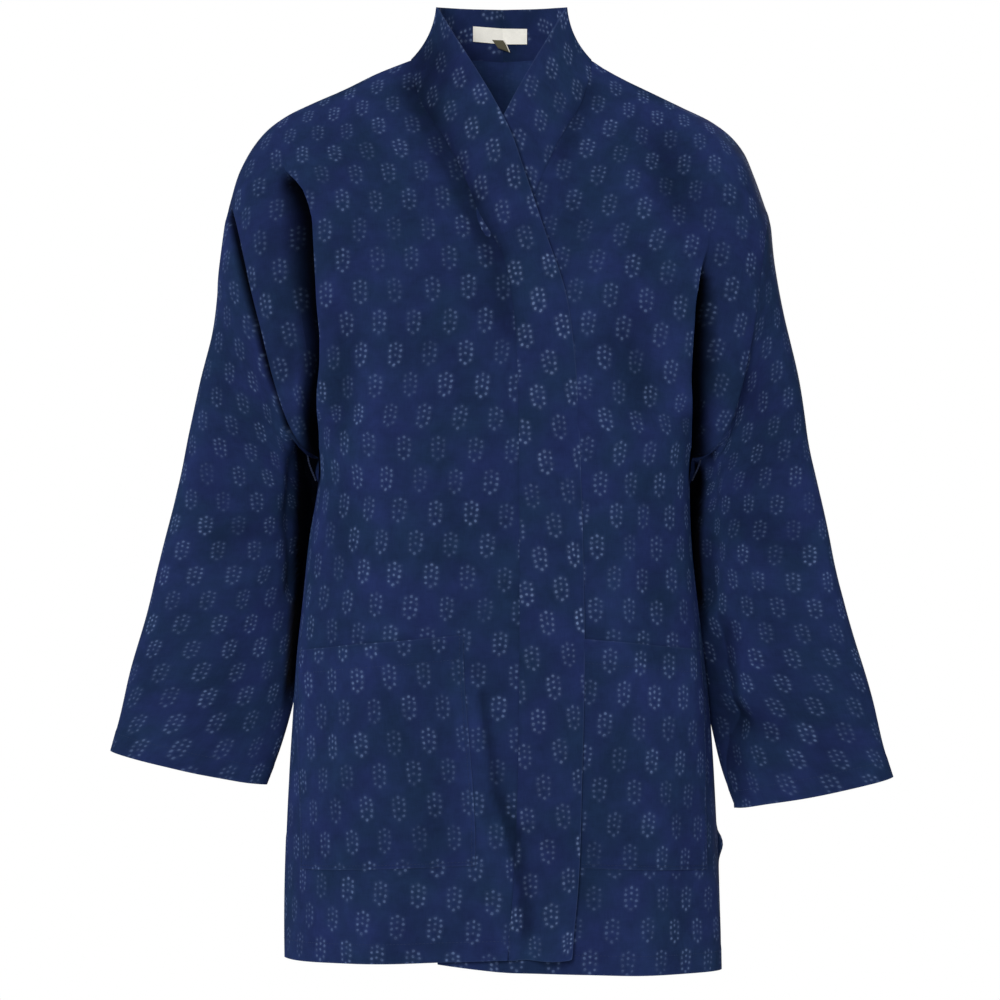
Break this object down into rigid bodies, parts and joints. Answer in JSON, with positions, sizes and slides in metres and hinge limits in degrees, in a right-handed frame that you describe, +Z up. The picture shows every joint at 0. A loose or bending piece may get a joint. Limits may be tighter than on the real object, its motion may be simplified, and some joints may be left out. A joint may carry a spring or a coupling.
{
  "type": "kimono jacket",
  "caption": "Mid-thigh kimono-style wrap jacket in printed indigo cotton, with a standing collar band, wide dropped sleeves, patch pockets and side vents.",
  "frame": {"origin": "middle of the neck, level with the points where the shoulder seams meet the collar band", "axes": "+Z up the wearer's back, -Y out of the chest, -X towards the wearer's right"},
  "size_m": [0.7392, 0.2871, 0.9172],
  "materials": {
    "indigo_print": "plain-weave cotton, matt, with a small pale dotted print",
    "indigo_band": "the same cotton folded double",
    "indigo_cord": "twisted thread",
    "cream_tape": "blank woven tape",
    "olive_tape": "blank woven tape"
  },
  "bodies": {
    "root": {"front_right": "indigo_print", "front_left": "indigo_print", "back_right": "indigo_print", "back_left": "indigo_print", "sleeve_right": "indigo_print", "sleeve_left": "indigo_print", "pocket_right": "indigo_print", "pocket_left": "indigo_print", "band_right": "indigo_band", "band_left": "indigo_band", "belt_loop_right": "indigo_cord", "belt_loop_left": "indigo_cord", "label": "cream_tape", "size_tab": "olive_tape"}
  },
  "joints": []
}
